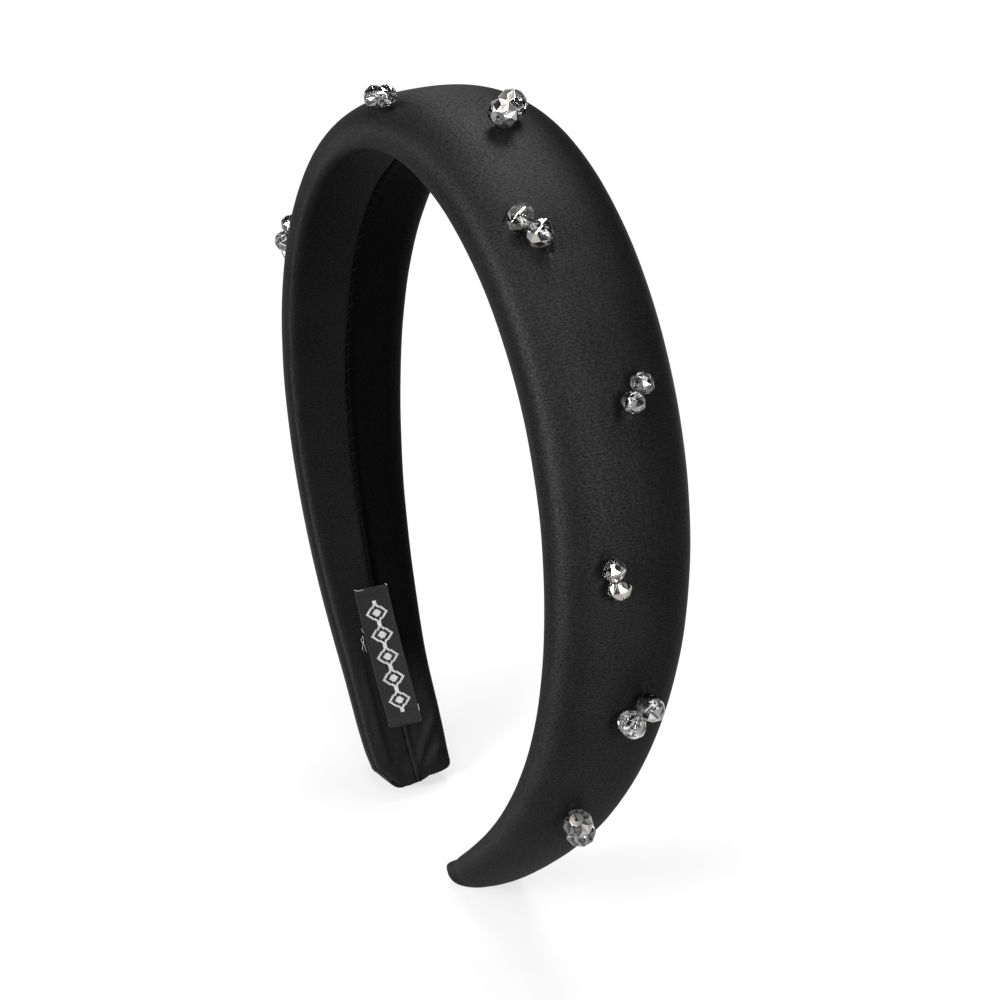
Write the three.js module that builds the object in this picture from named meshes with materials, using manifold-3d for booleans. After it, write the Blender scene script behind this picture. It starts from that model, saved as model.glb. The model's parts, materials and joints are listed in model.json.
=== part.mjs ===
// Padded satin headband with pairs of faceted crystals sewn along its outside. Millimetres, +Z up.
// X runs from the left leg to the right leg, Y from the front edge to the back edge, and the two tips
// stand on Z = 0. A place on the band is (s, y, n): s along the inner face from the crown, positive to
// the right tip, y across the band, and n outwards from the inner face. The hoop is one springy strip.
// It is parted just left of the crown, where the hinge stands in for its bending.
import * as THREE from "three";
import { mergeVertices } from "three/addons/utils/BufferGeometryUtils.js";
import Module from "manifold-3d";

const wasm = await Module();
wasm.setup();

// Outline of the padded band.
const HALF_ARC = 200;
const TURN_DEGREES = [213.4, -64.2, 17.1, -33.5];
const CROWN_HALF_WIDTH = 15.5;
const TIP_HALF_WIDTH = 7.3;
const WIDTH_POWER = 1.9;
const CROWN_THICKNESS = 10.8;
const TIP_THICKNESS = 7.2;
const THICKNESS_POWER = 4.1;
const WIDEST_AT = 0.32;
const GAP = 0.3;

// Near a tip the corners are rounded off and the outside slopes down, each as a quarter of an ellipse.
const TIP_ROUND = 2.2;
const TIP_TAPER = 9.3;
const TIP_DROP = 3.4;

// Layers, from the inner face outwards.
const COVER_WALL = 0.6;
const HOOP_BOTTOM = 1.3;
const HOOP_TOP = 2.8;
const HOOP_WIDTH_SHARE = 0.75;
const FOAM_SIDE_INSET = 1.3;
const FOAM_END_INSET = 2.4;
const SEAM_SLIT = 1;
const SEAM_THREAD = 0.4;
const SEAM_THREAD_DEPTH = 0.1;
const SEAM_END = 197;

// The parting plane and the lengths of the two halves on either side of it.
const PARTING = -5;
const LEG_STEPS = 26;
const TIP_STEPS = 6;

// How far a cutting shape runs past what it cuts.
const CUT_SPARE = 1;

// Label on the inner face of the left leg.
const LABEL_TOP = -157;
const LABEL_BOTTOM = -187.5;
const LABEL_HALF_WIDTH = 4.1;
const LABEL_THICKNESS = 0.35;
const TACK_RADIUS = 0.16;
const TACK_INSIDE = 0.8;
const TACK_OUTSIDE = 0.5;
const TACK_SLOPE = 0.1;
const TACK_STEPS = 6;

// Crystals: diameter, thickness along the hole, and the radius of the hole.
const LARGE = { diameter: 6, thickness: 4.5, hole: 0.6 };
const SMALL = { diameter: 4.7, thickness: 3.7, hole: 0.5 };
const CRYSTAL_SIDES = 8;
const TABLE_SHARE = 0.55;
const GIRDLE_SHARE = 0.1;
const CRYSTAL_THREAD_RADIUS = 0.18;
const CRYSTAL_THREAD_STEPS = 18;
const THREAD_REACH = 0.5;
const KNEE_DROP_SHARE = 0.12;
const KNOT_RADIUS = 0.6;
const STITCH_HOLE = 0.5;
const KNOT_POCKET = 1.1;
const POCKET_SPARE = 0.2;

// Where each pair is sewn on: its place on the band, and the angle of its hole from the band's length.
const PAIRS = [
  { s: -140, y: -3, angle: 30, size: LARGE },
  { s: -111, y: 2, angle: -50, size: LARGE },
  { s: -83, y: -9.5, angle: 20, size: SMALL },
  { s: -52, y: 5, angle: -50, size: LARGE },
  { s: -20.2, y: -11.7, angle: 12, size: SMALL },
  { s: 1, y: 1.8, angle: 131, size: LARGE },
  { s: 26.1, y: -6.7, angle: 32, size: LARGE },
  { s: 55, y: 3.3, angle: -41, size: SMALL },
  { s: 83.3, y: -4.7, angle: 15, size: SMALL },
  { s: 110.2, y: 2, angle: -47, size: LARGE },
  { s: 140.3, y: -2.7, angle: 23, size: LARGE },
];

const SATIN = new THREE.MeshStandardMaterial({ color: 0x151516, roughness: 0.42 });
const SPONGE = new THREE.MeshStandardMaterial({ color: 0x8d8d88, roughness: 0.95 });
const PLASTIC = new THREE.MeshStandardMaterial({ color: 0x1b1b1d, roughness: 0.35 });
const THREAD = new THREE.MeshStandardMaterial({ color: 0x0c0c0d, roughness: 0.6 });
const PALE_THREAD = new THREE.MeshStandardMaterial({ color: 0xa8a8a4, roughness: 0.6 });
const RIBBON = new THREE.MeshStandardMaterial({ color: 0x1d1d1e, roughness: 0.7 });
const CRYSTAL = new THREE.MeshStandardMaterial({ color: 0x9b9c9f, roughness: 0.05, metalness: 0.2 });

// The band's line: how far it has turned down from level at a share of the way to the tip.
function turnAt(share) {
  const degrees = TURN_DEGREES.reduce((sum, part, power) => sum + part * share ** (power + 1), 0);
  return THREE.MathUtils.degToRad(degrees);
}

const LINE_STEPS = 400;
const line = [new THREE.Vector2(0, 0)];
for (let i = 0; i < LINE_STEPS; i += 1) {
  const angle = turnAt((i + 0.5) / LINE_STEPS);
  const step = new THREE.Vector2(Math.cos(angle), -Math.sin(angle));
  line.push(line[i].clone().addScaledVector(step, HALF_ARC / LINE_STEPS));
}

function onBand(s, y, n) {
  const share = Math.abs(s) / HALF_ARC;
  const i = Math.min(Math.floor(share * LINE_STEPS), LINE_STEPS - 1);
  const point = line[i].clone().lerp(line[i + 1], share * LINE_STEPS - i);
  const angle = turnAt(share);
  const x = Math.sign(s) * (point.x + n * Math.sin(angle));
  return new THREE.Vector3(x, y, point.y + n * Math.cos(angle));
}

function between(crown, tip, power, s) {
  return crown + (tip - crown) * (Math.abs(s) / HALF_ARC) ** power;
}

// How much narrower or thinner the band has become near a tip.
function rounding(s, reach, depth) {
  const near = THREE.MathUtils.clamp((Math.abs(s) - (HALF_ARC - reach)) / reach, 0, 1);
  return depth * (1 - Math.sqrt(1 - near ** 2));
}

function halfWidthAt(s) {
  return between(CROWN_HALF_WIDTH, TIP_HALF_WIDTH, WIDTH_POWER, s) - rounding(s, TIP_ROUND, TIP_ROUND);
}

function thicknessAt(s) {
  return between(CROWN_THICKNESS, TIP_THICKNESS, THICKNESS_POWER, s) - rounding(s, TIP_TAPER, TIP_DROP);
}

const signedPower = (value, power) => Math.sign(value) * Math.abs(value) ** power;

// Sections, with x from -1 to 1 across the band and y from 0 to 1 outwards.
const DOME_SIDE = 0.8;
const DOME_TOP = 0.85;
const FLAT_BOTTOM = 0.3;

function bandSection(points) {
  const outline = [];
  for (let i = 0; i < points; i += 1) {
    const angle = (i / points) * Math.PI * 2;
    const rise = Math.sin(angle);
    const above = WIDEST_AT + (1 - WIDEST_AT) * signedPower(rise, DOME_TOP);
    const below = WIDEST_AT * (1 - Math.abs(rise) ** FLAT_BOTTOM);
    outline.push(new THREE.Vector2(signedPower(Math.cos(angle), DOME_SIDE), rise > 0 ? above : below));
  }
  return new THREE.Shape(outline);
}

function domeSection(points) {
  const outline = [];
  for (let i = 0; i <= points; i += 1) {
    const angle = (i / points) * Math.PI;
    const rise = Math.max(Math.sin(angle), 0) ** DOME_TOP;
    outline.push(new THREE.Vector2(signedPower(Math.cos(angle), DOME_SIDE), rise));
  }
  return new THREE.Shape(outline);
}

function barSection() {
  const corners = [[-1, 0], [1, 0], [1, 1], [-1, 1]];
  return new THREE.Shape(corners.map(([x, y]) => new THREE.Vector2(x, y)));
}

// Geometry helpers: weld a geometry's corners, and move between geometries and solids.
function welded(geometry) {
  const bare = geometry.clone();
  bare.deleteAttribute("normal");
  bare.deleteAttribute("uv");
  return mergeVertices(bare);
}

function solidOf(geometry) {
  const mesh = welded(geometry);
  const vertProperties = new Float32Array(mesh.attributes.position.array);
  const triVerts = new Uint32Array(mesh.index.array);
  return new wasm.Manifold(new wasm.Mesh({ numProp: 3, vertProperties, triVerts }));
}

function geometryOf(solid) {
  const mesh = solid.getMesh();
  const geometry = new THREE.BufferGeometry();
  geometry.setAttribute("position", new THREE.BufferAttribute(new Float32Array(mesh.vertProperties), 3));
  geometry.setIndex(new THREE.BufferAttribute(new Uint32Array(mesh.triVerts), 1));
  return geometry;
}

// A flat bar of the section, laid along the band: stationAt gives its place and size along the way.
function bentBar(section, steps, stationAt) {
  const bar = welded(new THREE.ExtrudeGeometry(section, { depth: 1, steps, bevelEnabled: false }));
  const position = bar.attributes.position;
  for (let i = 0; i < position.count; i += 1) {
    const { s, halfWidth, bottom, top } = stationAt(position.getZ(i));
    const n = bottom + (top - bottom) * position.getY(i);
    const point = onBand(s, halfWidth * position.getX(i), n);
    position.setXYZ(i, point.x, point.y, point.z);
  }
  return bar;
}

// A layer of one half, from the parting plane to the tip, inset from the band's outside. Its stations
// are even along the leg and close up towards the end of the tip.
function layer(side, section, { inset, sideInset = inset, endInset = inset, bottom, overrun = 0 }) {
  const start = PARTING + side * (GAP / 2 - overrun);
  const end = side * (HALF_ARC - endInset);
  const legEnd = end - side * TIP_TAPER;
  const steps = LEG_STEPS + TIP_STEPS;
  const legShare = LEG_STEPS / steps;
  return bentBar(section, steps, (z) => {
    const along = side > 0 ? z : 1 - z;
    const corner = Math.max(0, (along - legShare) / (1 - legShare)) * (Math.PI / 2);
    const onLeg = start + (legEnd - start) * Math.min(1, along / legShare);
    const s = onLeg + side * TIP_TAPER * Math.sin(corner);
    return { s, halfWidth: halfWidthAt(s) - sideInset, bottom, top: thicknessAt(s) - inset };
  });
}

// A bar of constant section between two places on the band.
function strip(from, to, steps, { halfWidth, bottom, top }) {
  return bentBar(barSection(), steps, (z) => ({ s: from + (to - from) * z, halfWidth, bottom, top }));
}

// A place on the outside of the band with its directions along, across and out of the satin.
const NUDGE = 0.05;

function surfacePoint(s, y) {
  const across = Math.min(Math.abs(y) / halfWidthAt(s), 1) ** (1 / DOME_SIDE);
  const rise = Math.sin(Math.acos(across)) ** DOME_TOP;
  return onBand(s, y, thicknessAt(s) * (WIDEST_AT + (1 - WIDEST_AT) * rise));
}

function surfaceFrame(s, y) {
  const point = surfacePoint(s, y);
  const along = surfacePoint(s + NUDGE, y).sub(surfacePoint(s - NUDGE, y)).normalize();
  const across = surfacePoint(s, y + NUDGE).sub(surfacePoint(s, y - NUDGE)).normalize();
  return { point, along, across, out: along.clone().cross(across).normalize() };
}

// A straight tube of the given radius through the band's skin, from one depth to another.
function pin(frame, radius, from, to) {
  const tube = new THREE.CylinderGeometry(radius, radius, to - from, 6);
  tube.applyQuaternion(new THREE.Quaternion().setFromUnitVectors(THREE.Object3D.DEFAULT_UP, frame.out));
  const centre = frame.point.clone().addScaledVector(frame.out, (from + to) / 2);
  return tube.translate(centre.x, centre.y, centre.z);
}

// One pair of crystals: its two centres, its line, and the two places where its thread enters the satin.
function pairLayout({ s, y, angle, size }) {
  const frame = surfaceFrame(s, y);
  const turn = THREE.MathUtils.degToRad(angle);
  const direction = frame.along.clone().multiplyScalar(Math.cos(turn));
  direction.addScaledVector(frame.across, Math.sin(turn)).normalize();
  const middle = frame.point.clone().addScaledVector(frame.out, size.diameter / 2 + GAP);
  const spacing = (size.thickness + GAP) / 2;
  const reach = size.thickness + GAP / 2 + THREAD_REACH;
  const ends = [-1, 1].map((sign) => ({
    centre: middle.clone().addScaledVector(direction, sign * spacing),
    knee: middle.clone().addScaledVector(direction, sign * reach),
    foot: surfaceFrame(
      s + sign * reach * Math.cos(turn),
      y + sign * reach * Math.sin(turn) * frame.across.y,
    ),
  }));
  return { direction, middle, ends, size };
}

function crystal({ diameter, thickness, hole }) {
  const radius = diameter / 2;
  const girdle = thickness * GIRDLE_SHARE;
  const table = radius * TABLE_SHARE;
  const profile = [
    [hole, -thickness / 2],
    [table, -thickness / 2],
    [radius, -girdle],
    [radius, girdle],
    [table, thickness / 2],
    [hole, thickness / 2],
    [hole, -thickness / 2],
  ];
  return new THREE.LatheGeometry(profile.map(([x, y]) => new THREE.Vector2(x, y)), CRYSTAL_SIDES);
}

function circleSection(radius, sides) {
  const outline = [];
  for (let i = 0; i < sides; i += 1) {
    const angle = (i / sides) * Math.PI * 2;
    outline.push(new THREE.Vector2(radius * Math.cos(angle), radius * Math.sin(angle)));
  }
  return new THREE.Shape(outline);
}

function tube(points, radius, steps) {
  const extrudePath = new THREE.CatmullRomCurve3(points, false, "centripetal");
  return new THREE.ExtrudeGeometry(circleSection(radius, 6), { steps, extrudePath });
}

// The thread of a pair: from a knot under the satin, through both crystals, to a second knot.
function crystalThread({ middle, direction, ends, size }) {
  const [first, last] = ends.map(({ foot, knee }, index) => {
    const sign = index === 0 ? -1 : 1;
    return {
      knot: foot.point.clone().addScaledVector(foot.out, -(COVER_WALL + GAP + KNOT_RADIUS)),
      skin: foot.point,
      knee: knee.clone().addScaledVector(foot.out, -size.diameter * KNEE_DROP_SHARE),
      mouth: middle.clone().addScaledVector(direction, sign * (size.thickness + GAP / 2)),
    };
  });
  const path = [
    first.knot, first.skin, first.knee, first.mouth,
    middle,
    last.mouth, last.knee, last.skin, last.knot,
  ];
  const knots = [first.knot, last.knot].map(({ x, y, z }) =>
    solidOf(new THREE.IcosahedronGeometry(KNOT_RADIUS, 0).translate(x, y, z)));
  const thread = solidOf(tube(path, CRYSTAL_THREAD_RADIUS, CRYSTAL_THREAD_STEPS));
  return geometryOf(thread.add(knots[0]).add(knots[1]));
}

// A tack at a corner of the label: over its face, round its long edge and down to the satin.
function tack(s, edge) {
  const over = -(GAP + LABEL_THICKNESS + GAP + TACK_RADIUS);
  const down = -(GAP + TACK_RADIUS);
  const inside = Math.abs(edge) - TACK_INSIDE;
  const outside = Math.abs(edge) + GAP + TACK_OUTSIDE;
  const sign = Math.sign(edge);
  const path = [
    onBand(s, sign * inside, over),
    onBand(s, edge, over),
    onBand(s, sign * outside, (over + down) / 2),
    onBand(s, sign * (outside + TACK_SLOPE), down),
  ];
  return tube(path, TACK_RADIUS, TACK_STEPS);
}

const headband = new THREE.Group();

function addPiece(name, geometry, material) {
  const mesh = new THREE.Mesh(geometry, material);
  mesh.name = name;
  headband.add(mesh);
}

const layouts = PAIRS.map(pairLayout);

function addHalf(name, side) {
  const feet = layouts.flatMap(({ ends }, index) =>
    Math.sign(PAIRS[index].s - PARTING) === side ? ends.map(({ foot }) => foot) : []);
  const edge = PARTING + side * (GAP / 2);

  let cover = solidOf(layer(side, bandSection(16), { inset: 0, bottom: 0 }));
  const hollow = { inset: COVER_WALL, bottom: COVER_WALL, overrun: CUT_SPARE };
  cover = cover.subtract(solidOf(layer(side, bandSection(12), hollow)));
  const seamEnds = [edge - side * CUT_SPARE, side * SEAM_END].sort((a, b) => a - b);
  const slit = { halfWidth: SEAM_SLIT / 2, bottom: -CUT_SPARE, top: COVER_WALL + GAP };
  cover = cover.subtract(solidOf(strip(...seamEnds, LEG_STEPS, slit)));
  feet.forEach((foot) => {
    cover = cover.subtract(solidOf(pin(foot, STITCH_HOLE, -2 * COVER_WALL, COVER_WALL)));
  });
  addPiece(`cover_${name}`, geometryOf(cover), SATIN);

  const padding = {
    inset: COVER_WALL + GAP,
    sideInset: FOAM_SIDE_INSET,
    endInset: FOAM_END_INSET,
    bottom: HOOP_TOP + GAP,
  };
  let foam = solidOf(layer(side, domeSection(8), padding));
  const pocketDepth = COVER_WALL + 2 * GAP + 2 * KNOT_RADIUS + POCKET_SPARE;
  feet.forEach((foot) => {
    foam = foam.subtract(solidOf(pin(foot, KNOT_POCKET, -pocketDepth, 0)));
  });
  addPiece(`foam_${name}`, geometryOf(foam), SPONGE);

  const hoopEnd = side * (HALF_ARC - COVER_WALL - 2 * GAP);
  const hoopEnds = [edge, hoopEnd].sort((a, b) => a - b);
  const hoop = bentBar(barSection(), LEG_STEPS, (z) => {
    const s = hoopEnds[0] + (hoopEnds[1] - hoopEnds[0]) * z;
    return { s, halfWidth: halfWidthAt(s) * HOOP_WIDTH_SHARE, bottom: HOOP_BOTTOM, top: HOOP_TOP };
  });
  addPiece(`hoop_${name}`, hoop, PLASTIC);

  const threadEnds = [edge, side * (SEAM_END - GAP)].sort((a, b) => a - b);
  const seam = {
    halfWidth: SEAM_THREAD / 2,
    bottom: SEAM_THREAD_DEPTH,
    top: SEAM_THREAD_DEPTH + SEAM_THREAD,
  };
  addPiece(`seam_thread_${name}`, strip(...threadEnds, LEG_STEPS, seam), THREAD);
}

addHalf("left", -1);
addHalf("right", 1);

const labelLayer = { halfWidth: LABEL_HALF_WIDTH, bottom: -GAP - LABEL_THICKNESS, top: -GAP };
addPiece("label", strip(LABEL_BOTTOM, LABEL_TOP, 6, labelLayer), RIBBON);
const tackPlaces = [
  [LABEL_TOP - 1, -LABEL_HALF_WIDTH],
  [LABEL_TOP - 1, LABEL_HALF_WIDTH],
  [LABEL_BOTTOM + 1, -LABEL_HALF_WIDTH],
  [LABEL_BOTTOM + 1, LABEL_HALF_WIDTH],
];
tackPlaces.forEach(([s, edge], index) => addPiece(`label_tack_${index + 1}`, tack(s, edge), PALE_THREAD));

layouts.forEach((layout, index) => {
  const number = String(index + 1).padStart(2, "0");
  const turn = new THREE.Quaternion().setFromUnitVectors(THREE.Object3D.DEFAULT_UP, layout.direction);
  layout.ends.forEach(({ centre }, end) => {
    const bead = crystal(layout.size).applyQuaternion(turn).translate(centre.x, centre.y, centre.z);
    addPiece(`crystal_${number}${end === 0 ? "a" : "b"}`, bead, CRYSTAL);
  });
  addPiece(`crystal_thread_${number}`, crystalThread(layout), THREAD);
});

// Stand the tips on Z = 0.
headband.position.z = -new THREE.Box3().setFromObject(headband).min.z;

export default headband;
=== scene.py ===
"""Looks of the padded satin headband: a satin sleeve with its seam and folded tips, a label and crystals.

Shapes are worked out in millimetres, in the band's own coordinates, and turned into metres as meshes are
made. A place on the band is (s, y, n): s along the inner face from the crown, positive to the right tip,
y across the band, and n outwards from the inner face.
"""

import json
import math

import bmesh
import bpy
import numpy as np
from mathutils import Matrix, Vector
from mathutils import noise as perlin


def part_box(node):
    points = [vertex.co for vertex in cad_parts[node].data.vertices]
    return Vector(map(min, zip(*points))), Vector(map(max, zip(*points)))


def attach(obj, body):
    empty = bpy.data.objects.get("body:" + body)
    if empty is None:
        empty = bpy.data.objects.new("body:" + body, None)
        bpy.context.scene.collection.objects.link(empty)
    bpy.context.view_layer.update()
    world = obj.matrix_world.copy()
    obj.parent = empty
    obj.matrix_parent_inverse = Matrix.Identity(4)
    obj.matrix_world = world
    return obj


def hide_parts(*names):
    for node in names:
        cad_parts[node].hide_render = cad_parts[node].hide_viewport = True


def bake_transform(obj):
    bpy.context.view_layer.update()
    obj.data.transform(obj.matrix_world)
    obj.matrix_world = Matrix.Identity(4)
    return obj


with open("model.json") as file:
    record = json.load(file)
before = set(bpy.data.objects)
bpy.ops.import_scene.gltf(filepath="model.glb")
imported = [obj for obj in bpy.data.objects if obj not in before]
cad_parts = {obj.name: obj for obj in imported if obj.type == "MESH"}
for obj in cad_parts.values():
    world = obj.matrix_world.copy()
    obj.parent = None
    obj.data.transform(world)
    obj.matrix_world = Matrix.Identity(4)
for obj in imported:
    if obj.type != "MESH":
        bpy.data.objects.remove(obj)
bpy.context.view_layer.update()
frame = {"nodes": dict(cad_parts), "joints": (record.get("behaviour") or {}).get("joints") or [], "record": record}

MM = 0.001
CROWN_HEIGHT = next(m["pos_m"][2] for m in frame["record"]["mounts"] if m["name"] == "head_seat") / MM

# Outline of the band, as in the CAD model.
HALF_ARC = 200.0
TURN_DEGREES = (213.4, -64.2, 17.1, -33.5)
CROWN_HALF_WIDTH = 15.5
TIP_HALF_WIDTH = 7.3
WIDTH_POWER = 1.9
CROWN_THICKNESS = 10.8
TIP_THICKNESS = 7.2
THICKNESS_POWER = 4.1
WIDEST_AT = 0.32
DOME_SIDE = 0.8
DOME_TOP = 0.85
FLAT_BOTTOM = 0.3
TIP_ROUND = 2.2
TIP_TAPER = 9.3
TIP_DROP = 3.4
HOOP_BOTTOM = 1.3
HOOP_TOP = 2.8
HOOP_WIDTH_SHARE = 0.75
FOAM_SIDE_INSET = 1.3
SEAM_END = 197.0
LABEL_TOP = -157.0
LABEL_BOTTOM = -187.5
LABEL_GAP = 0.3

# Where the sleeve bends when the hoop springs open, either side of the hinge.
HINGE = Vector(frame["joints"][0]["pos_m"])
LEFT, RIGHT = "left_half", "right_half"


# ---------------- the band's shape

LINE_STEPS = 2000
_shares = np.linspace(0, 1, LINE_STEPS + 1)


def turn_at(share):
    return np.radians(sum(part * share ** (power + 1) for power, part in enumerate(TURN_DEGREES)))


_middle = turn_at((_shares[:-1] + _shares[1:]) / 2)
_step = HALF_ARC / LINE_STEPS
LINE_X = np.concatenate([[0], np.cumsum(np.cos(_middle)) * _step])
LINE_Z = -np.concatenate([[0], np.cumsum(np.sin(_middle)) * _step])


def on_band(s, y, n):
    """Points in millimetres in the row frame, from arrays of band coordinates."""
    s, y, n = np.broadcast_arrays(np.asarray(s, float), y, n)
    share = np.minimum(np.abs(s) / HALF_ARC, 1)
    beyond = np.maximum(np.abs(s) - HALF_ARC, 0)
    angle = turn_at(share)
    x = np.interp(share, _shares, LINE_X) + beyond * np.cos(angle) + n * np.sin(angle)
    z = np.interp(share, _shares, LINE_Z) - beyond * np.sin(angle) + n * np.cos(angle)
    return np.stack([np.where(s < 0, -x, x), y, z + CROWN_HEIGHT], -1)


def between(crown, tip, power, s):
    return crown + (tip - crown) * np.minimum(np.abs(s) / HALF_ARC, 1) ** power


def half_width_at(s):
    return between(CROWN_HALF_WIDTH, TIP_HALF_WIDTH, WIDTH_POWER, s)


def thickness_at(s):
    return between(CROWN_THICKNESS, TIP_THICKNESS, THICKNESS_POWER, s)


def signed_power(value, power):
    return np.sign(value) * np.abs(value) ** power


def section(angle, half_width, thickness):
    """(y, n) round a section: angle 0 is the back edge and a quarter turn is the top."""
    rise = np.sin(angle)
    above = WIDEST_AT + (1 - WIDEST_AT) * signed_power(rise, DOME_TOP)
    below = WIDEST_AT * (1 - np.abs(rise) ** FLAT_BOTTOM)
    n = thickness * np.where(rise > 0, above, below)
    return half_width * signed_power(np.cos(angle), DOME_SIDE), n


# Round the section from the seam in the middle of the inner face, by even steps of length at the crown.
_fine = np.linspace(-math.pi / 2, 1.5 * math.pi, 4001)
_outline = np.stack(section(_fine, CROWN_HALF_WIDTH, CROWN_THICKNESS), -1)
_lengths = np.concatenate([[0], np.cumsum(np.hypot(*np.diff(_outline, axis=0).T))])
GIRTH = _lengths[-1]


def angle_round(share):
    return np.interp(share * GIRTH, _lengths, _fine)


# ---------------- helpers

def new_object(name, data, *materials):
    obj = bpy.data.objects.new(name, data)
    bpy.context.scene.collection.objects.link(obj)
    for material in materials:
        data.materials.append(material)
    return obj


def mesh_from(name, points_mm, faces):
    mesh = bpy.data.meshes.new(name)
    mesh.from_pydata((np.reshape(points_mm, (-1, 3)) * MM).tolist(), [], faces)
    mesh.validate()
    mesh.update()
    return mesh


def grid_faces(rows, columns, wrap=False):
    faces = []
    for i in range(rows - 1):
        for j in range(columns if wrap else columns - 1):
            k = (j + 1) % columns
            faces.append((i * columns + j, i * columns + k, (i + 1) * columns + k, (i + 1) * columns + j))
    return faces


def tube_faces(count, sides):
    """Faces of a tube of rings of points, closed at both ends."""
    faces = grid_faces(count, sides, wrap=True)
    faces.append(tuple(reversed(range(sides))))
    faces.append(tuple((count - 1) * sides + k for k in range(sides)))
    return faces


def smooth(obj, angle=None):
    for polygon in obj.data.polygons:
        polygon.use_smooth = True
    if angle is not None:
        obj.data.set_sharp_from_angle(angle=math.radians(angle))


def store(mesh, name, values):
    attribute = mesh.attributes.new(name, "FLOAT_VECTOR", "POINT")
    attribute.data.foreach_set("vector", np.asarray(values, np.float32).ravel())


def lay_out(mesh, along, across):
    """The cloth's own directions, as a UV map: U runs along the band."""
    corners = np.empty(len(mesh.loops), int)
    mesh.loops.foreach_get("vertex_index", corners)
    layer = mesh.uv_layers.new(name="band")
    uv = np.stack([along[corners], across[corners]], -1) / (2 * HALF_ARC) + 0.5
    layer.data.foreach_set("uv", uv.ravel())


def fix_normals(obj):
    bm = bmesh.new()
    bm.from_mesh(obj.data)
    bmesh.ops.recalc_face_normals(bm, faces=bm.faces)
    bm.to_mesh(obj.data)
    bm.free()


def apply_modifiers(obj):
    graph = bpy.context.evaluated_depsgraph_get()
    mesh = bpy.data.meshes.new_from_object(obj.evaluated_get(graph))
    obj.modifiers.clear()
    obj.data = mesh


def crosses_flex(obj):
    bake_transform(obj)


def side_of(s):
    return RIGHT if s > HINGE.x / MM else LEFT


# ---------------- materials

class Nodes:
    """A material's node tree, with short ways to add and join nodes."""

    def __init__(self, name):
        self.material = bpy.data.materials.new(name)
        self.material.use_nodes = True
        self.tree = self.material.node_tree
        self.shader = self.tree.nodes["Principled BSDF"]

    def add(self, kind, **values):
        node = self.tree.nodes.new(kind)
        for key, value in values.items():
            if key in node.inputs:
                node.inputs[key].default_value = value
            else:
                setattr(node, key, value)
        return node

    def join(self, source, target):
        self.tree.links.new(source, target)

    def attribute(self, name, output="Vector"):
        return self.add("ShaderNodeAttribute", attribute_name=name).outputs[output]

    def object_point(self):
        return self.add("ShaderNodeTexCoord").outputs["Object"]

    def scaled(self, vector, scale):
        node = self.add("ShaderNodeMapping")
        node.inputs["Scale"].default_value = scale
        self.join(vector, node.inputs["Vector"])
        return node.outputs["Vector"]

    def noise(self, vector, scale, detail=3.0, roughness=0.55):
        node = self.add("ShaderNodeTexNoise", Scale=scale, Detail=detail, Roughness=roughness)
        self.join(vector, node.inputs["Vector"])
        return node.outputs["Fac"]

    def wave(self, vector, scale, direction="X", distortion=0.0, detail_scale=1.0):
        node = self.add("ShaderNodeTexWave", Scale=scale, Distortion=distortion, Detail=1.0)
        node.inputs["Detail Scale"].default_value = detail_scale
        node.bands_direction = direction
        self.join(vector, node.inputs["Vector"])
        return node.outputs["Fac"]

    def maths(self, operation, first, second=None):
        node = self.add("ShaderNodeMath", operation=operation)
        for socket, value in zip(node.inputs, (first, second)):
            if value is None:
                continue
            if isinstance(value, (int, float)):
                socket.default_value = value
            else:
                self.join(value, socket)
        return node.outputs[0]

    def weighted(self, *terms):
        """The sum of values, each given with its weight."""
        total, *rest = (self.maths("MULTIPLY", value, weight) for value, weight in terms)
        for term in rest:
            total = self.maths("ADD", total, term)
        return total

    def ramp(self, factor, *stops):
        """Colours by a factor: each stop is its position and a colour, or one number for a grey."""
        node = self.add("ShaderNodeValToRGB")
        elements = node.color_ramp.elements
        while len(elements) < len(stops):
            elements.new(0.5)
        for element, (position, colour) in zip(elements, stops):
            element.position = position
            element.color = (*colour, 1) if isinstance(colour, tuple) else (colour, colour, colour, 1)
        self.join(factor, node.inputs["Fac"])
        return node.outputs["Color"]

    def mix(self, factor, first, second):
        node = self.add("ShaderNodeMix", data_type="RGBA")
        for socket, value in ((node.inputs[0], factor), (node.inputs[6], first), (node.inputs[7], second)):
            if hasattr(value, "node"):
                self.join(value, socket)
            else:
                socket.default_value = value
        return node.outputs[2]

    def spread(self, factor, low, high):
        node = self.add("ShaderNodeMapRange")
        node.inputs["To Min"].default_value = low
        node.inputs["To Max"].default_value = high
        self.join(factor, node.inputs["Value"])
        return node.outputs["Result"]

    def bump(self, height, strength, distance):
        """A normal for the shader: distance is in metres."""
        node = self.add("ShaderNodeBump", Strength=strength, Distance=distance)
        self.join(height, node.inputs["Height"])
        return node.outputs["Normal"]

    def set(self, **values):
        for key, value in values.items():
            socket = self.shader.inputs[key.replace("_", " ")]
            if hasattr(value, "node"):
                self.join(value, socket)
            else:
                socket.default_value = value
        return self.material


WAVE_PERIOD = 2 * math.pi / 20   # a Wave texture's period at scale 1
# the black that the painted shade on the satin's inner face darkens its colour towards
PAINTED_SHADE_BLACK = (0.0002, 0.0002, 0.0002, 1)

# Pitches of the weaves, in millimetres.
SATIN_RIBS = 0.62
SATIN_FLOATS = 0.34
RIBBON_WEAVE = 0.3

# The label's woven motif, in millimetres: a chain of lozenges, each with a core, and a knot where two meet.
LOZENGE_PITCH = 4.8
LOZENGE_STRETCH = 1.15
LOZENGE_RING = (1.95, 2.6)
LOZENGE_CORE = 1.0
KNOT_HALF_LENGTH = 0.32
KNOT_HALF_WIDTH = 0.45
MOTIF_HALF_LENGTH = 12.3


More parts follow.
